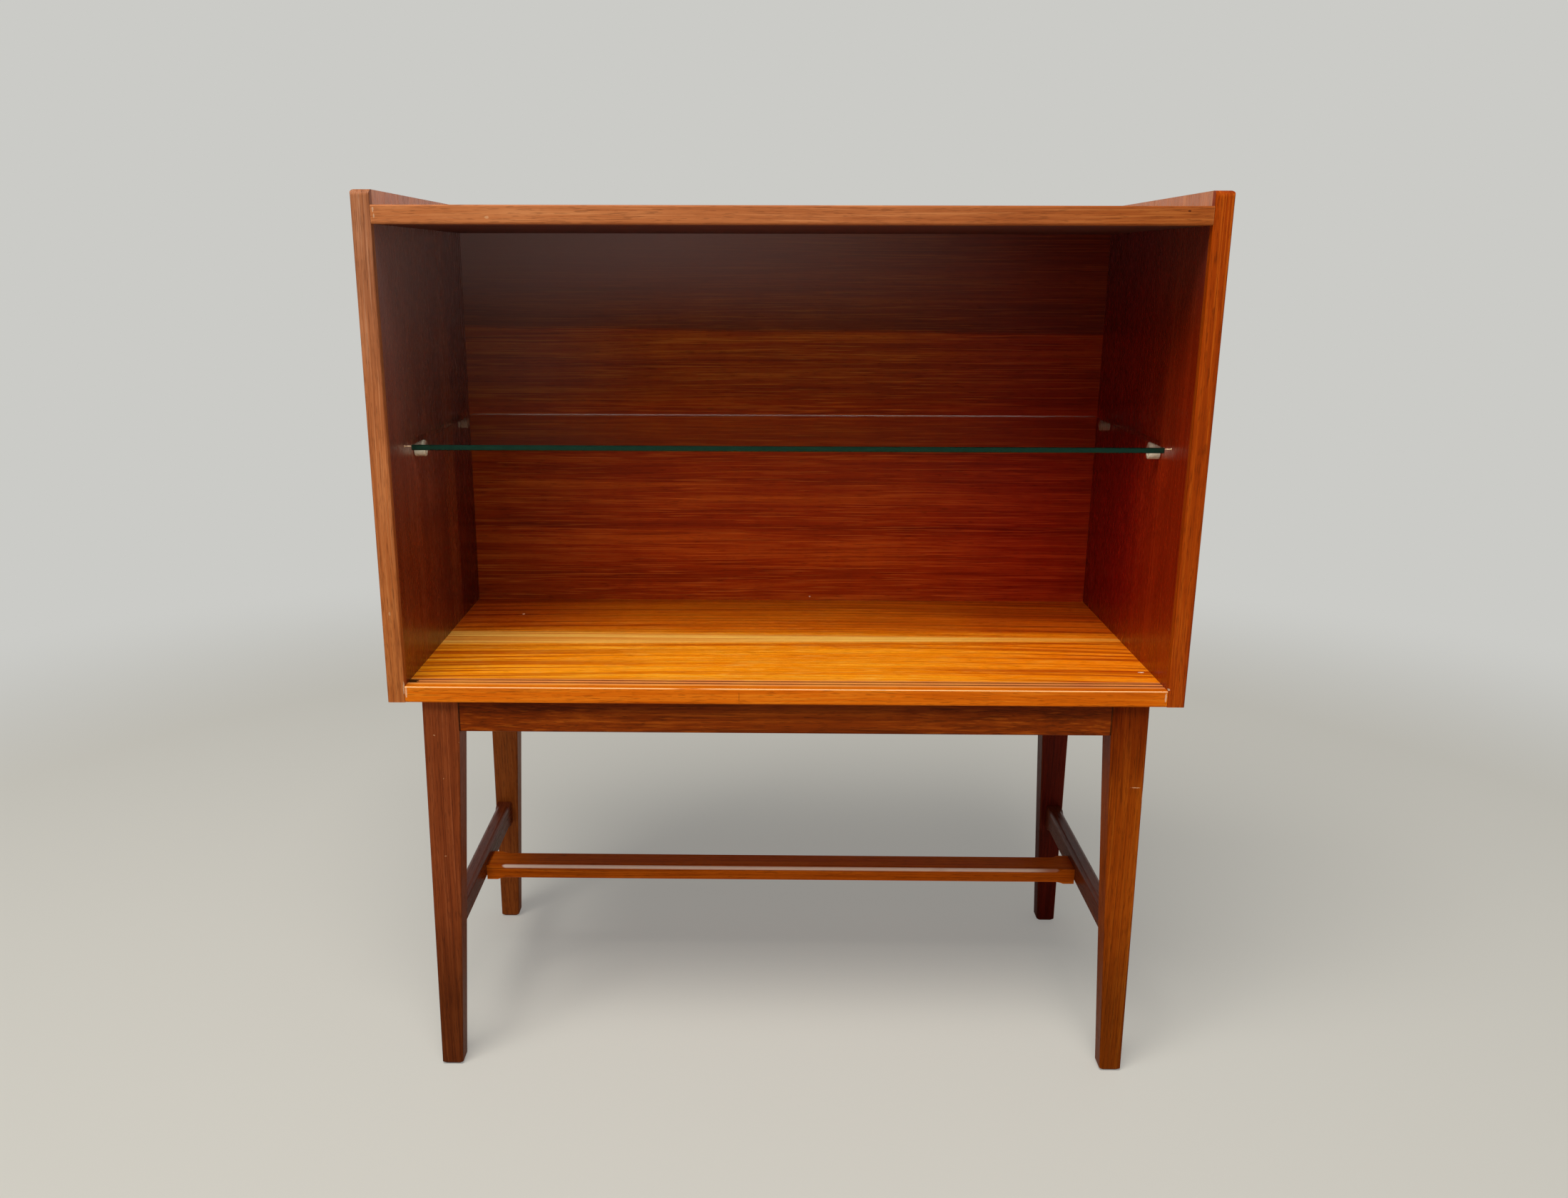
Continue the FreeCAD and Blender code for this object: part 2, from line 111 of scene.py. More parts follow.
# Cosines between which a face starts to look along a direction, and between which an arris shows
FACE_SHOWN = (0.5, 0.9)
ARRIS_SHOWN = (0.995, 0.9)
ARRIS_SAMPLES = 6

# Edges of small spots: noise to a metre, how far it moves the edge, and the distances at which a spot ends
SPOT_RATE = 700.0
SPOT_SWING = 1.2
SPOT_END = (1.0, 0.75)


def linear(red, green, blue):
    """Linear colour with alpha from values of 0 to 255 as seen on a screen."""
    def one(value):
        part = value / 255
        return part / 12.92 if part <= 0.04045 else ((part + 0.055) / 1.055) ** 2.4
    return (one(red), one(green), one(blue), 1.0)


class Look:
    """A material whose nodes are made by short calls.

    Each value is a number, a colour or a node's output.
    """

    def __init__(self, name):
        self.material = bpy.data.materials.new(name)
        self.material.use_nodes = True
        self.tree = self.material.node_tree
        self.shader = self.tree.nodes["Principled BSDF"]
        self.output = self.tree.nodes["Material Output"]
        self.place = self.node("TexCoord").outputs["Object"]
        self.x, self.y, self.z = self.node("SeparateXYZ", {0: self.place}).outputs

    def put(self, socket, value):
        if isinstance(value, bpy.types.NodeSocket):
            self.tree.links.new(value, socket)
        else:
            socket.default_value = value

    def node(self, kind, inputs=None, **settings):
        made = self.tree.nodes.new("ShaderNode" + kind)
        for name, value in settings.items():
            setattr(made, name, value)
        for name, value in (inputs or {}).items():
            self.put(made.inputs[name], value)
        return made

    def set(self, **values):
        for name, value in values.items():
            socket_name = name.replace("_", " ").title().replace("Ior", "IOR")
            self.put(self.shader.inputs[socket_name], value)

    def math(self, operation, a, b=0.0):
        return self.node("Math", {0: a, 1: b}, operation=operation).outputs[0]

    def total(self, *values):
        result = values[0]
        for value in values[1:]:
            result = self.math("ADD", result, value)
        return result

    def product(self, *values):
        result = values[0]
        for value in values[1:]:
            result = self.math("MULTIPLY", result, value)
        return result

    def larger(self, a, b):
        """The larger of two values."""
        return self.math("MAXIMUM", a, b)

    def size(self, value):
        """A value without its sign."""
        return self.math("ABSOLUTE", value)

    def swing(self, value, amount):
        """A noise value of 0 to 1 turned into a change of up to half the amount, either way."""
        return self.product(self.math("SUBTRACT", value, 0.5), amount)

    def ease(self, value, start, end):
        """0 before start and 1 after end, with a smooth change between."""
        inputs = {"Value": value, "From Min": start, "From Max": end}
        return self.node("MapRange", inputs, interpolation_type="SMOOTHSTEP").outputs[0]

    def within(self, value, low, high, soft):
        """1 between low and high, 0 outside, with soft edges."""
        above_low = self.ease(value, low - soft, low + soft)
        below_high = self.ease(value, high + soft, high - soft)
        return self.product(above_low, below_high)

    def vector(self, x, y, z):
        return self.node("CombineXYZ", {0: x, 1: y, 2: z}).outputs[0]

    def vectors(self, operation, a, b):
        return self.node("VectorMath", {0: a, 1: b}, operation=operation).outputs[0]

    def length(self, vector):
        return self.node("VectorMath", {0: vector}, operation="LENGTH").outputs["Value"]

    def noise(self, vector, rates, detail=2.0, roughness=0.5):
        """Noise of 0 to 1. rates say about how many changes there are to a metre along X, Y and Z."""
        inputs = {"Vector": self.vectors("MULTIPLY", vector, rates), "Scale": 1.0}
        inputs.update({"Detail": detail, "Roughness": roughness})
        return self.node("TexNoise", inputs).outputs[0]

    def mix(self, factor, a, b, kind="MIX"):
        inputs = {0: factor, 6: a, 7: b}
        return self.node("Mix", inputs, data_type="RGBA", blend_type=kind).outputs[2]

    def paint(self, factor, colour, cover):
        """A colour covered by another, given as seen on a screen, as far as factor says."""
        return self.mix(factor, colour, linear(*cover))

    def shade(self, factor, colour, parts):
        """A colour with its red, green and blue multiplied by parts, as far as factor says."""
        return self.mix(factor, colour, (*parts, 1.0), "MULTIPLY")

    def ramp(self, value, stops):
        """A colour that goes through the stops' colours, given as seen on a screen, as the value grows."""
        made = self.node("ValToRGB", {0: value})
        elements = made.color_ramp.elements
        while len(elements) < len(stops):
            elements.new(0.5)
        for element, (position, colour) in zip(elements, stops):
            element.position = position
            element.color = linear(*colour)
        return made.outputs[0]

    def facing(self, direction):
        """1 where the surface looks along the direction, 0 where square to it, and -1 the other way."""
        inputs = {0: self.node("NewGeometry").outputs["Normal"], 1: direction}
        return self.node("VectorMath", inputs, operation="DOT_PRODUCT").outputs["Value"]

    def faces(self, direction):
        """1 on the faces that look along the direction, 0 on the others."""
        return self.ease(self.facing(direction), *FACE_SHOWN)

    def arrises(self, radius):
        """1 along sharp or tightly rounded arrises, 0 on flat faces."""
        rounded = self.node("Bevel", {"Radius": radius}, samples=ARRIS_SAMPLES).outputs[0]
        return self.ease(self.facing(rounded), *ARRIS_SHOWN)

    def spot(self, centre, size):
        """1 inside an uneven ellipsoid, 0 outside."""
        offset = self.vectors("DIVIDE", self.vectors("SUBTRACT", self.place, centre), size)
        uneven = self.swing(self.noise(self.place, (SPOT_RATE,) * 3), SPOT_SWING)
        return self.ease(self.total(self.length(offset), uneven), *SPOT_END)


# Teak: order of the axes, along the grain, across it and into the wood
GRAIN_ORDER = {"X": (0, 1, 2), "Y": (1, 0, 2), "Z": (2, 0, 1)}

# Teak: about how many changes of each layer there are to a metre, along the grain and across it
WANDER_RATES = (2.2, 6.0)
BAND_RATE = 0.7  # along the grain only
STREAK_RATES = (1.4, 280.0)
LINE_RATES = (5.0, 900.0)
MOTTLE_RATES = (26.0, 30.0)
PALE_THREAD_RATES = (2.6, 560.0)
DARK_THREAD_RATES = (2.0, 440.0)
FLECK_RATES = (70.0, 1000.0)
PORE_RATES = (75.0, 1500.0)

# Teak: values of the noise between which a layer starts to show
PALE_THREAD_SHOWN = (0.58, 0.70)
DARK_THREAD_SHOWN = (0.41, 0.29)
FLECK_SHOWN = (0.60, 0.68)
PORE_SHOWN = (0.60, 0.70)
RUB_SHOWN = (0.40, 0.60)

# Teak: strengths of the layers in the colour, the same on every piece
LINE_COLOUR = 0.6
MOTTLE_COLOUR = 0.35
PORE_COLOUR = 0.40
RUB_COLOUR = 0.35
RUB_RADIUS = 0.0012  # how far from an arris the rubbing goes
DEEPEST = 0.6  # colour of pores and flecks, as a part of the dark shade

# Teak: strengths of the layers in the roughness and the height, and the tint of reflections
STREAK_ROUGH = 0.18
MOTTLE_ROUGH = 0.12
PORE_ROUGH = 0.2
DULL_ROUGH = 0.35
STREAK_HEIGHT = 0.5
LINE_HEIGHT = 0.4
PORE_HEIGHT = -0.8
BUMP = {"Strength": 0.22, "Distance": 0.0004}
OIL_TINT = (1.0, 0.8, 0.7, 1.0)


def teak(name, grain, shades, seed, bands=1.2, streaks=1.2, threads=0.5, flecks=0.3, width=40.0,
         short=1.0, arch=0.0, wander=0.012, gloss=0.40, shine=0.08, dull=None, marks=()):
    """Oiled teak with its grain along an axis: bands, streaks, fine threads, pores and rubbed arrises.

    shades are dark, middle and light. bands, streaks, threads and flecks are strengths, and width is
    about how many bands there are to a metre. short says how short the lines of the grain are, wander
    how far they stray, and arch how much they bend down from the middle to the ends. gloss is the
    roughness, and shine how much the surface reflects. Faces that look along dull are less polished.
    """
    look = Look(name)
    dark, middle, light = shades
    along, across, deep = [(look.x, look.y, look.z)[i] for i in GRAIN_ORDER[grain]]
    slow = look.noise(look.vector(along, across, deep), (*WANDER_RATES, WANDER_RATES[1]), detail=1.0)
    aside = look.swing(slow, wander)
    grained = look.vector(
        look.total(along, seed),
        look.total(across, aside, look.product(along, along, arch), seed),
        look.total(deep, aside),
    )

    def layer(rates, shorter=1.0, detail=2.0, roughness=0.5):
        return look.noise(grained, (rates[0] * shorter, rates[1], rates[1]), detail, roughness)

    band = layer((BAND_RATE, width), short)
    streak = layer(STREAK_RATES, short, detail=3.0, roughness=0.65)
    line = layer(LINE_RATES, short)
    mottle = layer(MOTTLE_RATES)
    pale_thread = look.ease(layer(PALE_THREAD_RATES, short, detail=1.0), *PALE_THREAD_SHOWN)
    dark_thread = look.ease(layer(DARK_THREAD_RATES, short, detail=1.0), *DARK_THREAD_SHOWN)
    fleck = look.ease(layer(FLECK_RATES, detail=1.0), *FLECK_SHOWN)
    pore = look.ease(layer(PORE_RATES, detail=1.0), *PORE_SHOWN)

    tone = look.total(
        0.5,
        look.swing(band, bands),
        look.swing(streak, streaks),
        look.swing(line, LINE_COLOUR),
        look.swing(mottle, MOTTLE_COLOUR),
    )
    deepest = [DEEPEST * part for part in dark]
    colour = look.ramp(tone, [(0.0, dark), (0.5, middle), (1.0, light)])
    colour = look.paint(look.product(pale_thread, threads), colour, light)
    colour = look.paint(look.product(dark_thread, threads), colour, dark)
    colour = look.paint(look.product(pore, PORE_COLOUR), colour, deepest)
    colour = look.paint(look.product(fleck, flecks), colour, deepest)
    for mark in marks:
        colour = mark(look, colour)
    rubbed = look.product(look.arrises(RUB_RADIUS), look.ease(mottle, *RUB_SHOWN), RUB_COLOUR)
    colour = look.paint(rubbed, colour, light)

    rough = look.total(
        gloss,
        look.swing(streak, STREAK_ROUGH),
        look.product(pore, PORE_ROUGH),
        look.swing(mottle, MOTTLE_ROUGH),
    )
    if dull:
        rough = look.total(rough, look.product(look.faces(dull), DULL_ROUGH))
    height = look.total(
        look.swing(streak, STREAK_HEIGHT),
        look.swing(line, LINE_HEIGHT),
        look.product(pore, PORE_HEIGHT),
    )
    bump = look.node("Bump", {**BUMP, "Height": height})
    look.set(
        base_color=colour, roughness=rough, specular_ior_level=shine, specular_tint=OIL_TINT,
        normal=bump.outputs[0])
    return look.material


# Marks on the wood, some of them painted light and shade: each is a function of a look and a colour, and
# gives the colour with the mark on it
def spots(cover, strength, *places):
    """Mark of small spots, each given by its centre and its half sizes."""
    def mark(look, colour):
        for centre, size in places:
            colour = look.paint(look.product(look.spot(centre, size), strength), colour, cover)
        return colour
    return mark


def front_spots(cover, strength, depth, *places):
    """Mark of small spots on the front of a piece, each given by its x, z, half width and half height."""
    full = [((x, front_y, z), (half_width, depth, half_height)) for x, z, half_width, half_height in places]
    return spots(cover, strength, *full)


def fade(axis, start, end, parts):
    """Mark that multiplies the colour by parts, more and more from start to end along an axis."""
    def mark(look, colour):
        return look.shade(look.ease(getattr(look, axis), start, end), colour, parts)
    return mark


# Grey of the painted haze of reflected light
HAZE_GREY = (158, 128, 124)


def painted_haze(strength, low, high, right=0.34, left=-0.20):
    """Mark of a painted grey haze of reflected light on the varnish, thicker from low to high and from
    right to left.
    """
    def mark(look, colour):
        amount = look.product(look.ease(look.z, low, high), look.ease(look.x, right, left), strength)
        return look.paint(amount, colour, HAZE_GREY)
    return mark


UPSTAND_LOW = 0.804  # heights between which a side's inner face turns into its upstand
UPSTAND_HIGH = 0.806


def inside(direction, *marks):
    """Marks for the inner face of a side, which looks along the direction, below the top board."""
    def mark(look, colour):
        marked = colour
        for inner_mark in marks:
            marked = inner_mark(look, marked)
        below = look.ease(look.z, UPSTAND_HIGH, UPSTAND_LOW)
        return look.mix(look.product(look.faces(direction), below), colour, marked)
    return mark


def upstand(direction, parts):
    """Mark that multiplies the colour by parts on the inner face of a side, above the top board: a painted
    reflection that makes it lighter and greyer.
    """
    def mark(look, colour):
        above = look.ease(look.z, UPSTAND_LOW, UPSTAND_HIGH)
        return look.shade(look.product(look.faces(direction), above), colour, parts)
    return mark


REAR_DARK_START = (0.079, 0.083)
REAR_DARK_PARTS = (0.68, 0.34, 0.5)
PALE_STRIP = (0.040, 0.081)
PALE_STRIP_SOFT = 0.008
PALE_STRIP_PARTS = (1.5, 1.75, 1.4)


def rear_darkening(look, colour):
    """The left side's inner face is darker behind a line near its rear, with a paler strip before the line.
    """
    strip = look.shade(look.within(look.y, *PALE_STRIP, PALE_STRIP_SOFT), colour, PALE_STRIP_PARTS)
    return look.shade(look.ease(look.y, *REAR_DARK_START), strip, REAR_DARK_PARTS)


# Painted shadow of the end of the glass on the inner faces of the sides
SHELF_LINE_HEIGHTS = (0.5990, 0.6036)
SHELF_LINE_SOFT = 0.0012
SHELF_LINE_ENDS = (-0.085, 0.146)
SHELF_LINE_ENDS_SOFT = 0.020
SHELF_LINE_RATE = 60.0
SHELF_LINE_SHOWN = (0.30, 0.55)
SHELF_SHADOW_COVER = (22, 8, 8)


def shelf_shadow(strength):
    """Mark of a painted shadow of the glass: an uneven dark line along the end of the glass, on the inner
    face of a side.
    """
    def mark(look, colour):
        level = look.within(look.z, *SHELF_LINE_HEIGHTS, SHELF_LINE_SOFT)
        along = look.within(look.y, *SHELF_LINE_ENDS, SHELF_LINE_ENDS_SOFT)
        uneven = look.ease(look.noise(look.place, (1.0, SHELF_LINE_RATE, 1.0)), *SHELF_LINE_SHOWN)
        return look.paint(look.product(level, along, uneven, strength), colour, SHELF_SHADOW_COVER)
    return mark


ARRIS_BREAK_RATE = 9.0
ARRIS_BREAK_SHOWN = (0.25, 0.40)
ARRIS_MARK_FULL = 0.995


def arris_wear_and_highlight(direction, start, cover, strength):
    """Mark on rounded arrises that look along a direction, or nearly: pale, with a few breaks, for rubbed
    wear together with a painted highlight.
    """
    def mark(look, colour):
        unbroken = look.ease(look.noise(look.place, (ARRIS_BREAK_RATE,) * 3), *ARRIS_BREAK_SHOWN)
        rubbed = look.product(look.ease(look.facing(direction), start, ARRIS_MARK_FULL), unbroken, strength)
        return look.paint(rubbed, colour, cover)
    return mark


# Painted band of light across the bottom board
LIGHT_BAND_FRONT = (0.0363, -0.0146)  # slope of the front edge along X, and its Y at the middle
LIGHT_BAND_REAR = (-0.026, 0.0165)  # the same for the rear edge
LIGHT_BAND_FRONT_EDGE = (-0.003, 0.005)
LIGHT_BAND_REAR_EDGE = (0.004, -0.008)
LIGHT_BAND_BROAD_RATES = (1.5, 190.0, 1.0)
LIGHT_BAND_FINE_RATES = (3.0, 560.0, 1.0)
LIGHT_BAND_BROAD_SHARE = 0.6
LIGHT_BAND_FINE_SHARE = 0.4
LIGHT_BAND_STOPS = [(0.38, (228, 118, 10)), (0.58, (255, 202, 96))]
LIGHT_BAND_STRENGTH = 0.9
LIGHT_BAND_LINE = (-0.011, -0.004)
LIGHT_BAND_LINE_SOFT = 0.003
LIGHT_BAND_LINE_COVER = (172, 62, 3)
LIGHT_BAND_LINE_STRENGTH = 0.45


def light_band(look, colour):
    """A painted band of light across the bottom board, pale and striped, narrower to the right, with a
    darker line before it.
    """
    front = look.total(look.product(look.x, LIGHT_BAND_FRONT[0]), LIGHT_BAND_FRONT[1])
    rear = look.total(look.product(look.x, LIGHT_BAND_REAR[0]), LIGHT_BAND_REAR[1])
    behind_front = look.ease(look.y, *[look.total(front, step) for step in LIGHT_BAND_FRONT_EDGE])
    before_rear = look.ease(look.y, *[look.total(rear, step) for step in LIGHT_BAND_REAR_EDGE])
    broad = look.noise(look.place, LIGHT_BAND_BROAD_RATES, detail=3.0, roughness=0.65)
    fine = look.noise(look.place, LIGHT_BAND_FINE_RATES)
    stripe = look.total(look.product(broad, LIGHT_BAND_BROAD_SHARE), look.product(fine, LIGHT_BAND_FINE_SHARE))
    band_light = look.ramp(stripe, LIGHT_BAND_STOPS)
    line = look.within(look.math("SUBTRACT", look.y, front), *LIGHT_BAND_LINE, LIGHT_BAND_LINE_SOFT)
    lined = look.paint(look.product(line, LIGHT_BAND_LINE_STRENGTH), colour, LIGHT_BAND_LINE_COVER)
    return look.mix(look.product(behind_front, before_rear, LIGHT_BAND_STRENGTH), lined, band_light)


STRIPE_BEND = 0.12
STRIPE_RATES = (2.4, 130.0, 1.0)
STRIPE_SHOWN = (0.46, 0.61)
STRIPE_ENDS = (0.06, 0.32)
STRIPE_BEHIND = (0.018, 0.030)
STRIPE_COVER = (160, 50, 2)
STRIPE_LEAST = 0.25
STRIPE_MORE_AT_ENDS = 0.50
STRIPE_LEAST_BEHIND = 0.5


def red_stripes(look, colour):
    """Reddish stripes on the bottom board, bent at its ends, stronger there and behind the pale band."""
    bent_y = look.total(look.y, look.product(look.x, look.x, STRIPE_BEND))
    bent = look.vector(look.x, bent_y, 0.0)
    stripe = look.ease(look.noise(bent, STRIPE_RATES, detail=3.0), *STRIPE_SHOWN)
    ends = look.ease(look.size(look.x), *STRIPE_ENDS)
    behind = look.ease(look.y, *STRIPE_BEHIND)
    along = look.total(look.product(ends, STRIPE_MORE_AT_ENDS), STRIPE_LEAST)
    strength = look.larger(along, look.product(behind, STRIPE_LEAST_BEHIND))
    return look.paint(look.product(stripe, strength), colour, STRIPE_COVER)


CORNER_LEFT = (-0.12, -0.33)
CORNER_RIGHT = (0.12, 0.33)
CORNER_RIGHT_SHARE = 0.45
CORNER_BEHIND = (0.0, 0.09)
CORNER_SHADE_PARTS = (0.70, 0.44, 0.7)


def rear_corner_shade(look, colour):
    """The bottom board is darker and redder in its rear corners, the left one more so: painted shade."""
    left = look.ease(look.x, *CORNER_LEFT)
    right = look.product(look.ease(look.x, *CORNER_RIGHT), CORNER_RIGHT_SHARE)
    behind = look.ease(look.y, *CORNER_BEHIND)
    return look.shade(look.product(look.larger(left, right), behind), colour, CORNER_SHADE_PARTS)


TRACKS_BESIDE = (0.0085, 0.0270)
TRACKS_BESIDE_SOFT = 0.0012
TRACKS_BESIDE_COVER = (232, 152, 92)
TRACKS_BESIDE_STRENGTH = 0.50
TRACKS_SUNK = (0.0001, 0.0004)
TRACKS_SHADE = (124, 52, 18)
TRACKS_SHADE_STRENGTH = 0.75


def door_tracks(look, colour):
    """Paler wood beside the door tracks, and painted shade in them."""
    near, far = [front_y + distance for distance in TRACKS_BESIDE]
    beside = look.within(look.y, near, far, TRACKS_BESIDE_SOFT)
    sunk = look.ease(look.z, *[board_z - depth for depth in TRACKS_SUNK])
    pale = look.paint(look.product(beside, TRACKS_BESIDE_STRENGTH), colour, TRACKS_BESIDE_COVER)
    return look.paint(look.product(sunk, TRACKS_SHADE_STRENGTH), pale, TRACKS_SHADE)


DASH_RATE = 800.0
DASH_SHOWN = (0.58, 0.68)


def pale_dashes(cover, strength, rate):
    """Mark of fine, pale dashes along X. rate is about how many there are to a metre."""
    def mark(look, colour):
        noise = look.noise(look.place, (rate, DASH_RATE, DASH_RATE), detail=1.0)
        dash = look.ease(noise, *DASH_SHOWN)
        return look.paint(look.product(dash, strength), colour, cover)
    return mark


UNDERSIDE_SHADE_COVER = (92, 52, 44)


def underside_shade(look, colour):
    """The underside of the top board is darker and greyer than its other faces: painted shade."""
    return look.paint(look.faces(DOWN), colour, UNDERSIDE_SHADE_COVER)


UPPER_LEAF_SLOPE = 0.010
UPPER_LEAF_RATES = (9.0, 1.0, 60.0)
UPPER_LEAF_SWING = 0.006
UPPER_LEAF_START = (0.6905, 0.6920)
UPPER_LEAF_COVER = (86, 42, 28)
UPPER_LEAF_STRENGTH = 0.55
LEAF_JOINT = (0.6898, 0.6908)
LEAF_JOINT_SOFT = 0.0005
LEAF_JOINT_COVER = (48, 20, 12)
LEAF_JOINT_STRENGTH = 0.45


def upper_leaf(look, colour):
    """The upper leaf of the back panel's veneer is duller, and its joint shows as an uneven dark line."""
    uneven = look.swing(look.noise(look.place, UPPER_LEAF_RATES), UPPER_LEAF_SWING)
    height = look.total(look.z, look.product(look.x, UPPER_LEAF_SLOPE), uneven)
    upper = look.ease(height, *UPPER_LEAF_START)
    joint = look.within(height, *LEAF_JOINT, LEAF_JOINT_SOFT)
    dull = look.paint(look.product(upper, UPPER_LEAF_STRENGTH), colour, UPPER_LEAF_COVER)
    return look.paint(look.product(joint, LEAF_JOINT_STRENGTH), dull, LEAF_JOINT_COVER)


VENEER_BROAD_RATES = (0.8, 1.0, 34.0)
VENEER_FINE_RATES = (5.0, 1.0, 420.0)
VENEER_STOPS = [(0.35, (132, 70, 36)), (0.65, (180, 112, 62))]


def plain_rear(look, colour):
    """The rear of the back panel is a plain veneer without the marks of its front."""
    broad = look.noise(look.place, VENEER_BROAD_RATES)
    fine = look.noise(look.place, VENEER_FINE_RATES, detail=3.0, roughness=0.6)
    tone = look.total(look.product(broad, 0.5), look.product(fine, 0.5))
    return look.mix(look.faces(REAR), colour, look.ramp(tone, VENEER_STOPS))


def inner_shade(parts):
    """Mark of painted shade: multiplies the colour of a right leg by parts, on its front and left faces."""
    def mark(look, colour):
        return look.shade(look.larger(look.faces(FRONT), look.faces(LEFT)), colour, parts)
    return mark


OPEN_JOINT = (0.0016, 0.0007)
OPEN_JOINT_COVER = (22, 8, 3)
OPEN_JOINT_STRENGTH = 0.9


def open_joints(look, colour):
    """Dark lines at the ends of an apron, where it meets the legs."""
    close = look.ease(look.size(look.x), *[apron_end_x - distance for distance in OPEN_JOINT])
    return look.paint(look.product(close, OPEN_JOINT_STRENGTH), colour, OPEN_JOINT_COVER)


GLUE_LINE_X = -0.0413
GLUE_LINE_HALF = 0.0003
GLUE_LINE_HEIGHTS = (0.3805, 0.3880)
GLUE_LINE_END_SOFT = 0.0010
GLUE_LINE_COVER = (96, 36, 6)
GLUE_LINE_STRENGTH = 0.55


def glue_line(look, colour):
    """Joint in the length of the bottom lipping: a short dark line."""
    across = look.within(
        look.x, GLUE_LINE_X - GLUE_LINE_HALF, GLUE_LINE_X + GLUE_LINE_HALF, GLUE_LINE_HALF)
    upright = look.within(look.z, *GLUE_LINE_HEIGHTS, GLUE_LINE_END_SOFT)
    return look.paint(look.product(across, upright, GLUE_LINE_STRENGTH), colour, GLUE_LINE_COVER)


def dress(names, material):
    for name in names:
        for slot in nodes[name].material_slots:
            slot.material = material


# Colours of spots
CREAM = (238, 214, 178)
TAN = (214, 164, 118)
CHIP = (255, 232, 205)
# Painted shade for the dark hollow where the rear door track meets the left side
TRACK_END_SHADE = (20, 8, 4)

# Boards and panels of the case
dress(["bottom_board"], teak(
    "bottom_board_teak", "X", [(204, 84, 3), (250, 144, 9), (255, 172, 36)], seed=0.37,
    bands=0.9, streaks=1.3, width=60.0, short=2.0, wander=0.02,
    marks=[
        pale_dashes((255, 196, 84), 0.4, 40.0),
        red_stripes,
        # Darker and redder behind the band of light: painted shade of the top board
        fade("y", 0.010, 0.042, (0.80, 0.57, 0.55)),
        # Darker rear corners: painted shade
        rear_corner_shade,
        # Painted band of light across the board
        light_band,
        fade("x", 0.05, 0.33, (0.95, 0.74, 0.5)),
        # Painted shade in the door tracks
        door_tracks,
        spots(
            CHIP, 0.95,
            ((-0.2815, 0.096, board_z), (0.0016, 0.0022, 0.002)),
            ((0.336, -0.1127, board_z), (0.0032, 0.0014, 0.002))),
        # Painted shade at the end of the rear door track
        spots(TRACK_END_SHADE, 0.95, ((-0.3405, -0.1530, board_z), (0.0055, 0.0050, 0.004))),
    ]))
dress(["top_board"], teak(
    "top_board_teak", "X", [(126, 54, 14), (176, 90, 32), (204, 122, 56)], seed=1.9,
    # The darker underside is painted shade
    gloss=0.55, marks=[underside_shade]))
dress(["back_panel"], teak(
    "back_panel_teak", "X", [(126, 35, 3), (170, 55, 5), (206, 90, 20)], seed=2.3,
    streaks=0.9, flecks=0.15, width=70.0, short=2.5,
    marks=[
        pale_dashes((232, 118, 40), 0.4, 14.0),
        upper_leaf,
        # Darker higher up, under the top board: painted shade
        fade("z", 0.44, 0.58, (0.80, 0.86, 0.9)),
        fade("z", 0.59, 0.62, (1.0, 1.25, 1.0)),
        # Darker towards the left end: painted shade
        fade("x", -0.10, -0.32, (0.72, 0.80, 1.0)),
        # Darker and much redder towards the right end; the darkening is painted shade
        fade("x", 0.05, 0.30, (0.84, 0.40, 0.5)),
        # Two painted grey hazes of reflected light
        painted_haze(0.85, 0.68, 0.80),
        painted_haze(0.2, 0.56, 0.66, -0.12, -0.32),
        spots(CREAM, 0.8, ((0.0335, back_y, 0.3965), (0.0012, 0.002, 0.0008))),
        plain_rear,
    ]))

SIDE_SHADES = [(128, 62, 26), (160, 84, 38), (184, 110, 60)]
SIDE_GRAIN = {"bands": 0.8, "streaks": 0.8, "threads": 0.3, "flecks": 0.12, "gloss": 0.26, "shine": 0.26}

dress(["left_side"], teak(
    "left_side_teak", "Z", SIDE_SHADES, seed=4.1, **SIDE_GRAIN, dull=LEFT,
    marks=[
        inside(
            RIGHT,
            # The inner face darker than the outer: painted shade inside the case
            fade("z", 0.9, 0.8, (0.56, 0.40, 0.45)),
            # Darker towards the rear: painted shade
            fade("y", -0.12, 0.05, (0.62, 0.60, 0.8)),
            rear_darkening,
            # Painted grey hazes of reflected light
            painted_haze(0.55, 0.48, 0.80),
            painted_haze(0.35, 0.64, 0.78),
            # Painted shadow of the end of the glass
            shelf_shadow(0.5)),
        # The upstand lighter and greyer: painted reflection
        upstand(RIGHT, (2.1, 2.9, 2.7)),
    ]))
dress(["right_side"], teak(
    "right_side_teak", "Z", SIDE_SHADES, seed=5.2, **SIDE_GRAIN, dull=RIGHT,
    marks=[
        inside(
            LEFT,
            # The inner face darker and deep red: painted shade and bounced light inside the case
            fade("z", 0.9, 0.8, (0.74, 0.19, 0.06)),
            # Darker and redder towards the rear: painted shade
            fade("y", -0.12, 0.05, (0.76, 0.25, 0.8)),
            # Darker and less red higher up: painted shade
            fade("z", 0.62, 0.78, (0.64, 0.82, 1.0)),
            # Painted grey haze of reflected light
            painted_haze(0.08, 0.70, 0.79, 0.5, 0.3),
            # Painted shadow of the end of the glass
            shelf_shadow(0.45)),
        # The upstand lighter: painted reflection
        upstand(LEFT, (1.9, 2.5, 2.15)),
    ]))

# Lippings
LIPPING_SPOT_DEPTH = 0.004

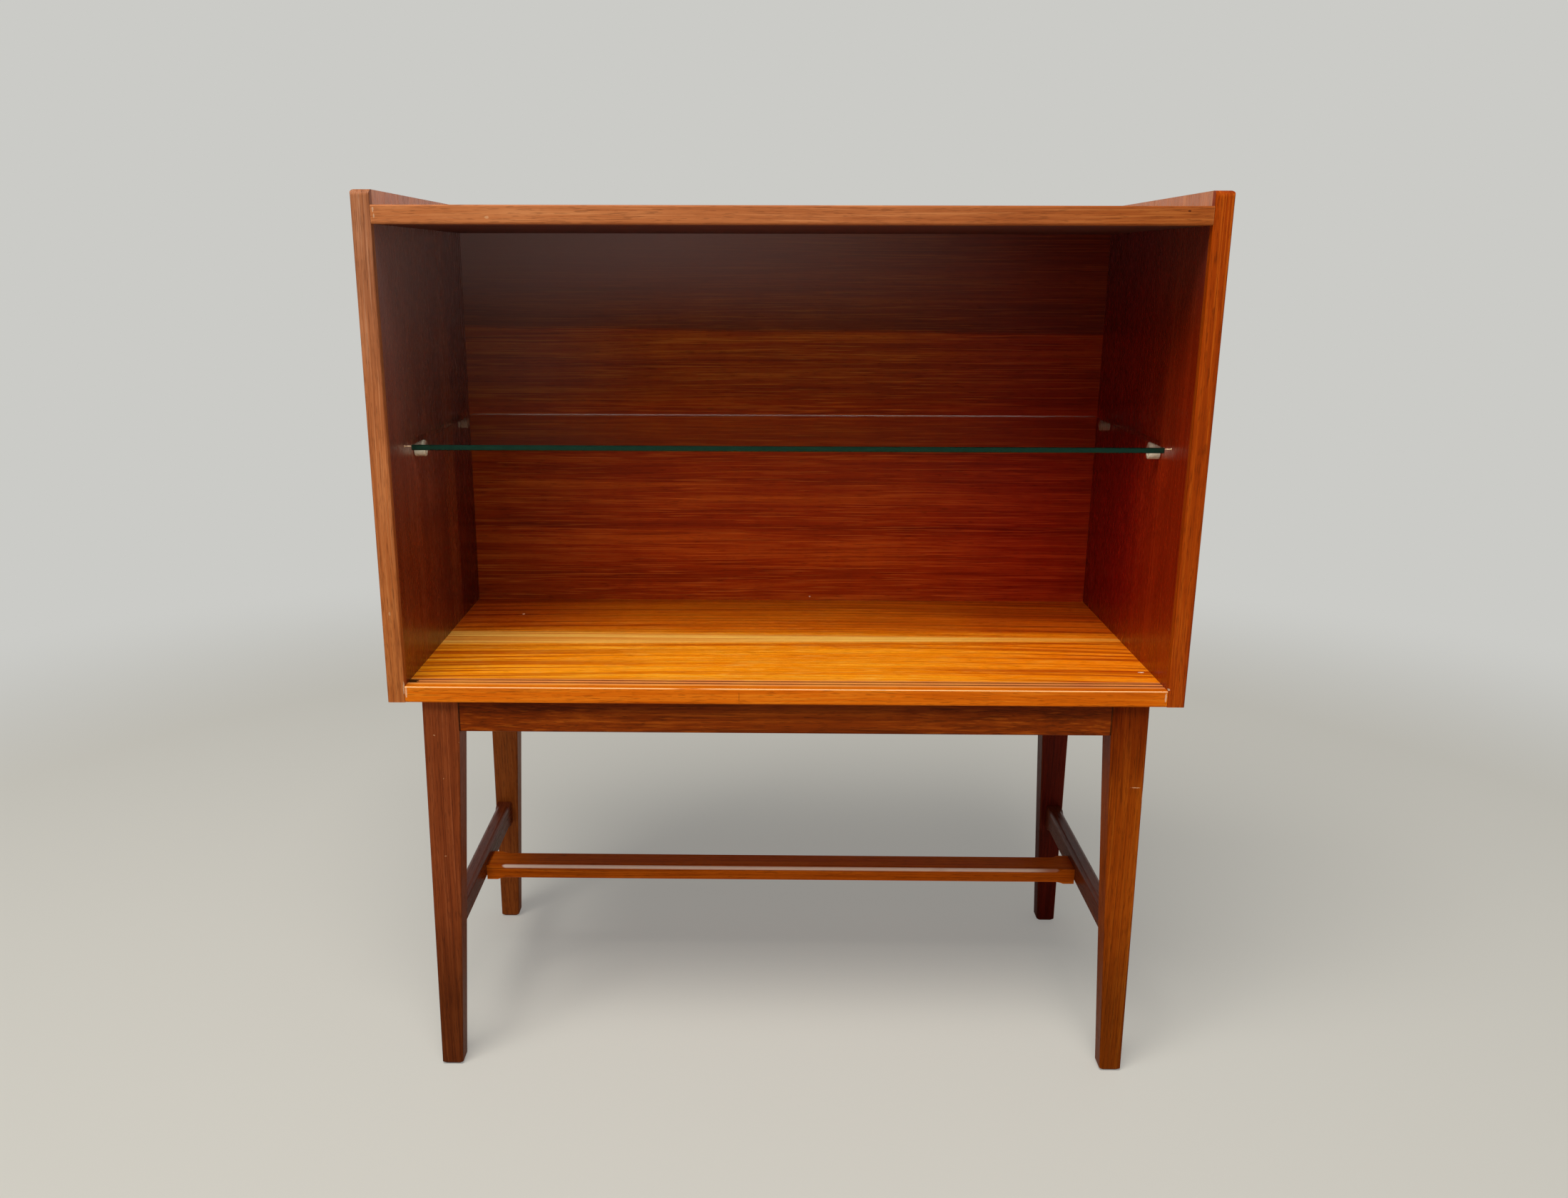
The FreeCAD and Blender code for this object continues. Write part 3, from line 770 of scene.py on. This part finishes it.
dress(["top_board_lipping"], teak(
    "top_lipping_teak", "X", [(152, 80, 40), (180, 105, 58), (206, 134, 82)], seed=6.4,
    bands=0.6, streaks=0.9, short=2.5, flecks=0.32,
    marks=[
        fade("x", 0.0, 0.36, (0.76, 0.58, 0.31)),
        front_spots(TAN, 0.5, LIPPING_SPOT_DEPTH, (-0.2486, 0.7952, 0.0022, 0.0012)),
        front_spots((70, 26, 8), 0.85, LIPPING_SPOT_DEPTH, (0.3239, 0.8010, 0.0016, 0.0010)),
        front_spots(
            CREAM, 0.3, LIPPING_SPOT_DEPTH,
            (-0.3418, 0.8015, 0.0008, 0.0024),
            (-0.3412, 0.7965, 0.0006, 0.0022)),
    ]))
dress(["bottom_board_lipping"], teak(
    "bottom_lipping_teak", "X", [(184, 78, 3), (214, 101, 6), (232, 130, 26)], seed=7.7,
    short=3.0, flecks=0.38, shine=0.05,
    marks=[
        glue_line,
        # Pale top front arris: rubbed wear with a painted highlight
        arris_wear_and_highlight(TOP_FRONT, 0.90, (255, 206, 142), 0.8),
        front_spots(
            CREAM, 0.45, LIPPING_SPOT_DEPTH,
            (-0.3428, 0.3870, 0.0009, 0.0060),
            (0.3425, 0.3860, 0.0009, 0.0045)),
    ]))
dress(["left_side_lipping"], teak(
    "left_lipping_teak", "Z", [(134, 68, 32), (179, 102, 53), (206, 134, 82)], seed=8.5,
    bands=0.8, short=3.0, flecks=0.32,
    marks=[
        fade("z", 0.62, 0.40, (0.86, 0.76, 0.56)),
        fade("z", 0.55, 0.80, (0.86, 1.05, 1.6)),
        front_spots(TAN, 0.4, LIPPING_SPOT_DEPTH, (-0.3526, 0.4598, 0.0009, 0.0018)),
        front_spots(CREAM, 0.35, LIPPING_SPOT_DEPTH, (-0.3446, 0.3900, 0.0009, 0.0060)),
    ]))
dress(["right_side_lipping"], teak(
    "right_lipping_teak", "Z", [(122, 40, 3), (160, 61, 4), (194, 94, 18)], seed=9.6,
    bands=0.8, streaks=1.0, short=3.0, flecks=0.42, shine=0.05,
    marks=[front_spots(CREAM, 0.5, LIPPING_SPOT_DEPTH, (0.3440, 0.3935, 0.0016, 0.0012))]))

# Stand
LEG_SPOT_DEPTH = 0.009
FRONT_LEG_GRAIN = {"bands": 0.9, "streaks": 0.9, "short": 2.0}
REAR_LEG_GRAIN = {"streaks": 0.9, "short": 2.0}
REAR_LEG_SHADES = [(96, 42, 13), (136, 66, 20), (162, 88, 34)]

dress(["front_left_leg"], teak(
    "front_left_leg_teak", "Z", [(82, 32, 13), (124, 56, 23), (152, 80, 42)], seed=11.3,
    **FRONT_LEG_GRAIN, shine=0.05,
    marks=[
        fade("z", 0.20, 0.06, (0.58, 0.58, 0.45)),
        front_spots(
            TAN, 0.4, LEG_SPOT_DEPTH,
            (-0.3212, 0.3436, 0.0014, 0.0008),
            (-0.2990, 0.3364, 0.0007, 0.0014),
            (-0.3154, 0.3009, 0.0008, 0.0010),
            (-0.3180, 0.2232, 0.0016, 0.0008)),
    ]))
dress(["front_right_leg"], teak(
    "front_right_leg_teak", "Z", [(96, 36, 3), (144, 60, 4), (172, 86, 16)], seed=15.9,
    **FRONT_LEG_GRAIN, shine=0.03,
    marks=[
        # Darker at the top, in the shadow of the case above: painted shadow
        fade("z", 0.27, 0.37, (0.50, 0.34, 0.36)),
        fade("z", 0.20, 0.06, (0.66, 0.74, 0.9)),
        front_spots(
            (222, 170, 128), 0.8, LEG_SPOT_DEPTH,
            (0.3244, 0.2972, 0.0062, 0.0005),
            (0.3311, 0.2880, 0.0004, 0.0110)),
    ]))
dress(["rear_left_leg"], teak(
    "rear_left_leg_teak", "Z", REAR_LEG_SHADES, seed=17.2, **REAR_LEG_GRAIN, shine=0.10))
dress(["rear_right_leg"], teak(
    "rear_right_leg_teak", "Z", REAR_LEG_SHADES, seed=19.4, **REAR_LEG_GRAIN, shine=0.08,
    marks=[inner_shade((0.34, 0.088, 0.13))]))
dress(["front_apron", "rear_apron"], teak(
    "apron_teak", "X", [(78, 27, 2), (126, 48, 3), (168, 80, 14)], seed=12.2,
    streaks=1.1, width=110.0, arch=0.16, shine=0.06,
    # The apron's top is darker, in the shadow of the case above: painted shadow
    marks=[fade("z", 0.352, 0.376, (0.62, 0.56, 0.6)), open_joints]))
dress(["long_stretcher"], teak(
    "long_stretcher_teak", "X", [(140, 58, 6), (188, 84, 10), (212, 112, 28)], seed=13.1,
    # The pale line along the rounded top front arris is a painted highlight
    shine=0.01, marks=[arris_wear_and_highlight(TOP_FRONT, 0.92, (255, 222, 200), 1.0)]))
dress(["left_stretcher", "right_stretcher"], teak(
    "side_stretcher_teak", "Y", [(58, 20, 8), (88, 34, 15), (116, 54, 26)], seed=14.8,
    streaks=0.8, gloss=0.30, shine=0.09))
dress(["left_apron", "right_apron"], teak(
    "side_apron_teak", "Y", [(86, 31, 8), (128, 54, 16), (160, 80, 30)], seed=16.3))

# Glass
GLASS_EDGE_SHOWN = (0.9, 0.6)
GLASS_EDGE_ROUGHNESS = 0.25
GLASS_CLOUD_RATES = (60.0, 60.0, 200.0)
GLASS_STOPS = [(0.35, (70, 150, 116)), (0.65, (150, 246, 204))]
# Where the glass's ground edge turns darker towards the right, and by how much: painted shade
GLASS_DARK_END = (0.02, 0.28)
GLASS_DARK_PARTS = (0.25, 0.4, 0.3)
GLASS_CLEAR = (1.0, 1.0, 1.0, 1.0)
GLASS_TINT = (0.25, 0.9, 0.6, 1.0)
GLASS_IOR = 1.5
GLASS_GREEN = (96, 214, 172)
GLASS_DENSITY = 9.0


def glass():
    """Clear green glass with ground edges."""
    look = Look("shelf_glass")
    ground = look.ease(look.size(look.facing(UP)), *GLASS_EDGE_SHOWN)
    green = look.ramp(look.noise(look.place, GLASS_CLOUD_RATES, detail=3.0), GLASS_STOPS)
    # The ground edge darker towards the right end: painted shade
    green = look.shade(look.ease(look.x, *GLASS_DARK_END), green, GLASS_DARK_PARTS)
    look.set(
        base_color=look.mix(ground, GLASS_CLEAR, green),
        roughness=look.product(ground, GLASS_EDGE_ROUGHNESS),
        transmission_weight=1.0, ior=GLASS_IOR, specular_tint=GLASS_TINT)
    absorption = look.node("VolumeAbsorption", {"Color": linear(*GLASS_GREEN), "Density": GLASS_DENSITY})
    look.tree.links.new(absorption.outputs[0], look.output.inputs["Volume"])
    return look.material


# Plastic, metal and bare wood
PLASTIC_RATES = (300.0, 300.0, 300.0)
PLASTIC_BUMP = {"Strength": 0.1, "Distance": 0.0002}
PLASTIC_ROUGHNESS = 0.35
PLASTIC_CLOUD_ROUGH = 0.2
METAL_RATES = (900.0, 200.0, 200.0)
METAL_ROUGHNESS = 0.2
METAL_CLOUD_ROUGH = 0.3
DOWEL_RATES = (300.0, 300.0, 300.0)
DOWEL_ROUGHNESS = 0.7
CLOUD_STOPS = (0.3, 0.7)  # values of the noise at which the dark and light shades are reached


def clouded(look, rates, dark, light):
    """Noise, and a colour that goes from dark to light with it."""
    cloud = look.noise(look.place, rates, detail=3.0)
    return cloud, look.ramp(cloud, list(zip(CLOUD_STOPS, (dark, light))))


def plastic():
    """Yellowed white plastic with a slightly uneven skin."""
    look = Look("sleeve_plastic")
    cloud, colour = clouded(look, PLASTIC_RATES, (172, 160, 134), (200, 190, 166))
    bump = look.node("Bump", {**PLASTIC_BUMP, "Height": cloud})
    rough = look.total(look.product(cloud, PLASTIC_CLOUD_ROUGH), PLASTIC_ROUGHNESS)
    look.set(base_color=colour, roughness=rough, normal=bump.outputs[0])
    return look.material


def metal(name, dark, light):
    """Drawn metal with a clouded, slightly tarnished skin."""
    look = Look(name)
    cloud, colour = clouded(look, METAL_RATES, dark, light)
    rough = look.total(look.product(cloud, METAL_CLOUD_ROUGH), METAL_ROUGHNESS)
    look.set(base_color=colour, metallic=1.0, roughness=rough)
    return look.material


def dowel_wood():
    """Pale, bare wood."""
    look = Look("dowel_wood")
    colour = clouded(look, DOWEL_RATES, (184, 148, 104), (214, 182, 136))[1]
    look.set(base_color=colour, roughness=DOWEL_ROUGHNESS)
    return look.material


def names_with(ending):
    return [name for name in nodes if name.endswith(ending)]


dress(["glass_shelf"], glass())
nodes["glass_shelf"].visible_shadow = False
dress(names_with("_sleeve"), plastic())
dress(names_with("_peg"), metal("browned_steel", (142, 98, 66), (178, 134, 96)))
dress(["back_panel_pins", "stand_screws"], metal("plain_steel", (150, 145, 138), (196, 192, 184)))
dress(names_with("_dowels"), dowel_wood())

# Small wire pins in the sides, in the gaps at the front corners of the glass
WIRE_RADIUS = 0.0004
WIRE_ROUNDING = 3
WIRE_REACH = 0.0068
WIRE_SEAT = 0.002
WIRE_DROP = 0.0023
WIRE_SETBACK = 0.008
TIP_RISE = 0.0018
TIP_BEND = 0.0009
TIP_STEPS = 6
COLLAR_START = -0.0001
COLLAR_END = 0.0006
COLLAR_SWELL = 3.8
pin_brass = metal("pale_brass", (196, 166, 126), (232, 208, 174))


def wire_profile():
    """Points of the wire: how far each is from the side, how far up, and how much thicker than the wire."""
    profile = [
        (-WIRE_SEAT, 0.0, 1.0),
        (COLLAR_START, 0.0, 1.0),
        (COLLAR_START, 0.0, COLLAR_SWELL),
        (COLLAR_END, 0.0, COLLAR_SWELL),
        (COLLAR_END, 0.0, 1.0),
    ]
    for step in range(TIP_STEPS + 1):
        turn = math.radians(90 * step / TIP_STEPS)
        reach = WIRE_REACH - TIP_BEND + TIP_BEND * math.sin(turn)
        rise = TIP_BEND - TIP_BEND * math.cos(turn)
        profile.append((reach, rise, 1.0))
    profile.append((WIRE_REACH, TIP_RISE, 1.0))
    return profile


def wire_pin(name, side):
    """Wire from a side, through a small collar, with its end turned up.

    side is -1 on the left and 1 on the right.
    """
    profile = wire_profile()
    y = glass_low[1] + WIRE_SETBACK
    z = glass_high[2] - WIRE_DROP
    curve = bpy.data.curves.new(name, "CURVE")
    curve.dimensions = "3D"
    curve.bevel_depth = WIRE_RADIUS
    curve.bevel_resolution = WIRE_ROUNDING
    curve.use_fill_caps = True
    spline = curve.splines.new("POLY")
    spline.points.add(len(profile) - 1)
    for point, (reach, rise, swell) in zip(spline.points, profile):
        point.co = (side * (inner_x - reach), y, z + rise, 1.0)
        point.radius = swell
    curve.materials.append(pin_brass)
    pin = bpy.data.objects.new(name, curve)
    bpy.context.scene.collection.objects.link(pin)
    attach(pin, "case")


wire_pin("left_wire_pin", -1)
wire_pin("right_wire_pin", 1)


# Stage
def lamp(name, place, target, size, power):
    data = bpy.data.lights.new(name, "AREA")
    data.shape = "RECTANGLE"
    data.size, data.size_y = size
    data.energy = power
    thing = bpy.data.objects.new(name, data)
    thing.location = place
    thing.rotation_euler = (Vector(target) - thing.location).to_track_quat("-Z", "Y").to_euler()
    bpy.context.scene.collection.objects.link(thing)


def floor():
    """A round, pale floor that turns into the background far from the object."""
    mesh = bpy.data.meshes.new("floor")
    ring = [2 * math.pi * i / FLOOR_CORNERS for i in range(FLOOR_CORNERS)]
    corners = [(FLOOR_RADIUS * math.cos(turn), FLOOR_RADIUS * math.sin(turn), 0.0) for turn in ring]
    mesh.from_pydata(corners, [], [list(range(FLOOR_CORNERS))])
    thing = bpy.data.objects.new("floor", mesh)
    bpy.context.scene.collection.objects.link(thing)
    look = Look("floor_paint")
    look.set(base_color=linear(*FLOOR_COLOUR), roughness=FLOOR_ROUGHNESS)
    far = look.node("Emission", {"Color": linear(*BACKGROUND)})
    seen = look.product(look.node("LightPath").outputs["Is Camera Ray"], SHADOW_FILL)
    share = look.larger(look.ease(look.length(look.place), *FLOOR_FADE), seen)
    mixed = look.node("MixShader", {0: share, 1: look.shader.outputs[0], 2: far.outputs[0]})
    look.tree.links.new(mixed.outputs[0], look.output.inputs["Surface"])
    mesh.materials.append(look.material)


def world():
    """A pale background to the camera, and through glass and in reflections; a soft sky for the rest."""
    made = bpy.data.worlds.new("studio")
    made.use_nodes = True
    tree = made.node_tree
    shown = tree.nodes["Background"]
    shown.inputs["Color"].default_value = linear(*BACKGROUND)
    sky = tree.nodes.new("ShaderNodeBackground")
    sky.inputs["Strength"].default_value = SKY_STRENGTH
    path = tree.nodes.new("ShaderNodeLightPath")
    either = path.outputs["Is Camera Ray"]
    for name in ("Is Glossy Ray", "Is Transmission Ray"):
        larger = tree.nodes.new("ShaderNodeMath")
        larger.operation = "MAXIMUM"
        tree.links.new(either, larger.inputs[0])
        tree.links.new(path.outputs[name], larger.inputs[1])
        either = larger.outputs[0]
    mixed = tree.nodes.new("ShaderNodeMixShader")
    tree.links.new(either, mixed.inputs[0])
    tree.links.new(sky.outputs[0], mixed.inputs[1])
    tree.links.new(shown.outputs[0], mixed.inputs[2])
    tree.links.new(mixed.outputs[0], tree.nodes["World Output"].inputs["Surface"])
    bpy.context.scene.world = made


def camera():
    data = bpy.data.cameras.new("camera")
    data.sensor_width = CAMERA_SENSOR
    data.lens = CAMERA_LENS
    data.shift_x, data.shift_y = CAMERA_SHIFT
    data.clip_start = CAMERA_NEAR
    thing = bpy.data.objects.new("camera", data)
    thing.location = CAMERA_PLACE
    thing.rotation_euler = [math.radians(turn) for turn in CAMERA_TURN]
    bpy.context.scene.collection.objects.link(thing)
    bpy.context.scene.camera = thing


floor()
world()
camera()
lamp("key", KEY_PLACE, KEY_AIM, KEY_SIZE, KEY_POWER)
lamp("fill", FILL_PLACE, FILL_AIM, FILL_SIZE, FILL_POWER)
bpy.context.scene.view_settings.view_transform = "Standard"
